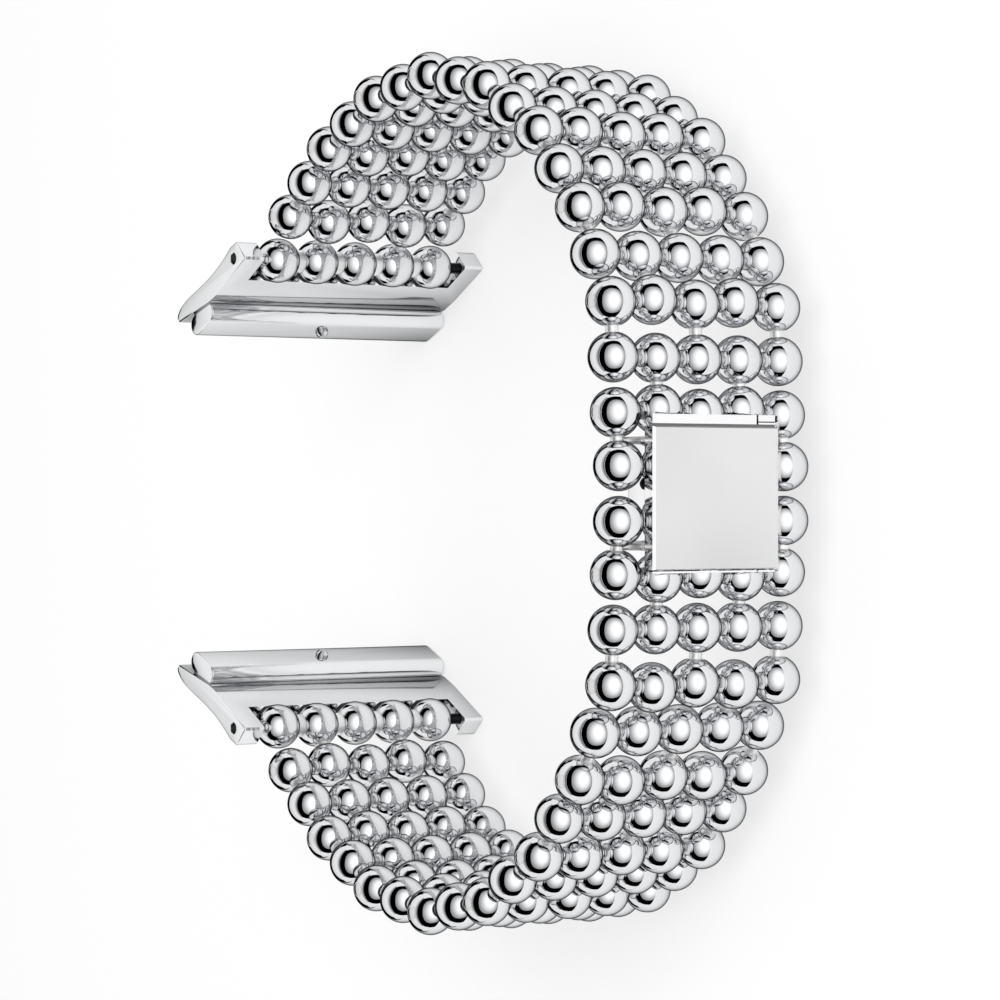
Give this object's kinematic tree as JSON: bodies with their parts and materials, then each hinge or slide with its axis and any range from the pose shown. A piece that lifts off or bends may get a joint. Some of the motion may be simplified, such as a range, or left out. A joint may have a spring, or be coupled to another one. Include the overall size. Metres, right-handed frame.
{
  "type": "metal watch bracelet",
  "caption": "Closed wrist loop of hinged steel bead links, joined by a sliding box clasp with side buttons, with slide-in adapters for a smart watch.",
  "frame": {"origin": "bottom centre of the whole box: middle of the wrist loop, at the lower ends of the adapters, on which the bracelet stands on its edge", "axes": "+X from the watch side to the clasp, +Y along the loop towards the half with the box, +Z across the band, parallel to every hinge pin"},
  "size_m": [0.0762, 0.0872, 0.03],
  "materials": {
    "beads": "mirror polished stainless steel",
    "clasp": "polished stainless steel",
    "cover": "fine satin brushed stainless steel",
    "adapter": "polished stainless steel",
    "pin": "drawn steel wire",
    "spring": "spring steel"
  },
  "bodies": {
    "clasp": {"clasp_box": "clasp", "clasp_cover": "cover", "upper_pin_1": "pin"},
    "tongue": {"tongue": "clasp", "tongue_spring": "spring", "lower_pin_1": "pin"},
    "left_button": {"left_button": "pin"},
    "right_button": {"right_button": "pin"},
    "upper_link_1": {"upper_link_1": "beads", "upper_pin_2": "pin"},
    "upper_link_2": {"upper_link_2": "beads", "upper_pin_3": "pin"},
    "upper_link_3": {"upper_link_3": "beads", "upper_pin_4": "pin"},
    "upper_link_4": {"upper_link_4": "beads", "upper_pin_5": "pin"},
    "upper_link_5": {"upper_link_5": "beads", "upper_pin_6": "pin"},
    "upper_link_6": {"upper_link_6": "beads", "upper_pin_7": "pin"},
    "upper_link_7": {"upper_link_7": "beads", "upper_pin_8": "pin"},
    "upper_link_8": {"upper_link_8": "beads", "upper_pin_9": "pin"},
    "upper_end_link": {"upper_end_link": "beads"},
    "upper_adapter": {"upper_adapter": "adapter", "upper_ear_pin": "pin", "upper_lock_spring": "spring"},
    "upper_lock": {"upper_lock_plunger": "pin"},
    "lower_link_1": {"lower_link_1": "beads", "lower_pin_2": "pin"},
    "lower_link_2": {"lower_link_2": "beads", "lower_pin_3": "pin"},
    "lower_link_3": {"lower_link_3": "beads", "lower_pin_4": "pin"},
    "lower_link_4": {"lower_link_4": "beads", "lower_pin_5": "pin"},
    "lower_link_5": {"lower_link_5": "beads", "lower_pin_6": "pin"},
    "lower_link_6": {"lower_link_6": "beads", "lower_pin_7": "pin"},
    "lower_link_7": {"lower_link_7": "beads", "lower_pin_8": "pin"},
    "lower_link_8": {"lower_link_8": "beads", "lower_pin_9": "pin"},
    "lower_end_link": {"lower_end_link": "beads"},
    "lower_adapter": {"lower_adapter": "adapter", "lower_ear_pin": "pin", "lower_lock_spring": "spring"},
    "lower_lock": {"lower_lock_plunger": "pin"}
  },
  "joints": [
    {"name": "tongue_slide", "type": "slide", "parent": "clasp", "child": "tongue", "axis": [0, -1, 0], "range_m": [0, 0.012], "deforming": ["tongue_spring"]},
    {"name": "left_button_press", "type": "slide", "parent": "clasp", "child": "left_button", "axis": [0, 0, -1], "range_m": [0, 0.00045], "stiffness_N_per_m": 1500, "springref_m": -0.0006},
    {"name": "right_button_press", "type": "slide", "parent": "clasp", "child": "right_button", "axis": [0, 0, 1], "range_m": [0, 0.00045], "stiffness_N_per_m": 1500, "springref_m": -0.0006},
    {"name": "upper_hinge_1", "type": "hinge", "parent": "clasp", "child": "upper_link_1", "pos_m": [0.03524, 0.0074, 0.015], "axis": [0, 0, 1], "range_deg": [-34, 26]},
    {"name": "upper_hinge_2", "type": "hinge", "parent": "upper_link_1", "child": "upper_link_2", "pos_m": [0.03452, 0.01758, 0.015], "axis": [0, 0, -1], "range_deg": [-20.5, 54.5]},
    {"name": "upper_hinge_3", "type": "hinge", "parent": "upper_link_2", "child": "upper_link_3", "pos_m": [0.02966, 0.02654, 0.015], "axis": [0, 0, 1], "range_deg": [-42.5, 32.5]},
    {"name": "upper_hinge_4", "type": "hinge", "parent": "upper_link_3", "child": "upper_link_4", "pos_m": [0.02297, 0.03424, 0.015], "axis": [0, 0, -1], "range_deg": [-26, 49]},
    {"name": "upper_hinge_5", "type": "hinge", "parent": "upper_link_4", "child": "upper_link_5", "pos_m": [0.01413, 0.03934, 0.015], "axis": [0, 0, 1], "range_deg": [-49, 26]},
    {"name": "upper_hinge_6", "type": "hinge", "parent": "upper_link_5", "child": "upper_link_6", "pos_m": [0.00412, 0.04128, 0.015], "axis": [0, 0, -1], "range_deg": [-26.5, 48.5]},
    {"name": "upper_hinge_7", "type": "hinge", "parent": "upper_link_6", "child": "upper_link_7", "pos_m": [-0.00599, 0.03995, 0.015], "axis": [0, 0, 1], "range_deg": [-47.5, 27.5]},
    {"name": "upper_hinge_8", "type": "hinge", "parent": "upper_link_7", "child": "upper_link_8", "pos_m": [-0.01524, 0.03564, 0.015], "axis": [0, 0, -1], "range_deg": [-30.5, 44.5]},
    {"name": "upper_hinge_9", "type": "hinge", "parent": "upper_link_8", "child": "upper_end_link", "pos_m": [-0.02311, 0.02915, 0.015], "axis": [0, 0, 1], "range_deg": [-49.5, 25.5]},
    {"name": "upper_adapter_hinge", "type": "hinge", "parent": "upper_end_link", "child": "upper_adapter", "pos_m": [-0.02579, 0.0247, 0.015], "axis": [0, 0, 1], "range_deg": [-45, 45]},
    {"name": "upper_lock_press", "type": "slide", "parent": "upper_adapter", "child": "upper_lock", "axis": [-0.4226, 0.9063, 0], "range_m": [0, 0.0005], "stiffness_N_per_m": 1000, "springref_m": -0.0006, "deforming": ["upper_lock_spring"]},
    {"name": "lower_hinge_1", "type": "hinge", "parent": "tongue", "child": "lower_link_1", "pos_m": [0.03524, -0.0074, 0.015], "axis": [0, 0, -1], "range_deg": [-34, 26]},
    {"name": "lower_hinge_2", "type": "hinge", "parent": "lower_link_1", "child": "lower_link_2", "pos_m": [0.03452, -0.01758, 0.015], "axis": [0, 0, 1], "range_deg": [-20.5, 54.5]},
    {"name": "lower_hinge_3", "type": "hinge", "parent": "lower_link_2", "child": "lower_link_3", "pos_m": [0.02966, -0.02654, 0.015], "axis": [0, 0, -1], "range_deg": [-42.5, 32.5]},
    {"name": "lower_hinge_4", "type": "hinge", "parent": "lower_link_3", "child": "lower_link_4", "pos_m": [0.02297, -0.03424, 0.015], "axis": [0, 0, 1], "range_deg": [-26, 49]},
    {"name": "lower_hinge_5", "type": "hinge", "parent": "lower_link_4", "child": "lower_link_5", "pos_m": [0.01413, -0.03934, 0.015], "axis": [0, 0, -1], "range_deg": [-49, 26]},
    {"name": "lower_hinge_6", "type": "hinge", "parent": "lower_link_5", "child": "lower_link_6", "pos_m": [0.00412, -0.04128, 0.015], "axis": [0, 0, 1], "range_deg": [-26.5, 48.5]},
    {"name": "lower_hinge_7", "type": "hinge", "parent": "lower_link_6", "child": "lower_link_7", "pos_m": [-0.00599, -0.03995, 0.015], "axis": [0, 0, -1], "range_deg": [-47.5, 27.5]},
    {"name": "lower_hinge_8", "type": "hinge", "parent": "lower_link_7", "child": "lower_link_8", "pos_m": [-0.01524, -0.03564, 0.015], "axis": [0, 0, 1], "range_deg": [-30.5, 44.5]},
    {"name": "lower_hinge_9", "type": "hinge", "parent": "lower_link_8", "child": "lower_end_link", "pos_m": [-0.02311, -0.02915, 0.015], "axis": [0, 0, -1], "range_deg": [-49.5, 25.5]},
    {"name": "lower_adapter_hinge", "type": "hinge", "parent": "lower_end_link", "child": "lower_adapter", "pos_m": [-0.02579, -0.0247, 0.015], "axis": [0, 0, -1], "range_deg": [-45, 45]},
    {"name": "lower_lock_press", "type": "slide", "parent": "lower_adapter", "child": "lower_lock", "axis": [-0.4226, -0.9063, 0], "range_m": [0, 0.0005], "stiffness_N_per_m": 1000, "springref_m": -0.0006, "deforming": ["lower_lock_spring"]}
  ]
}
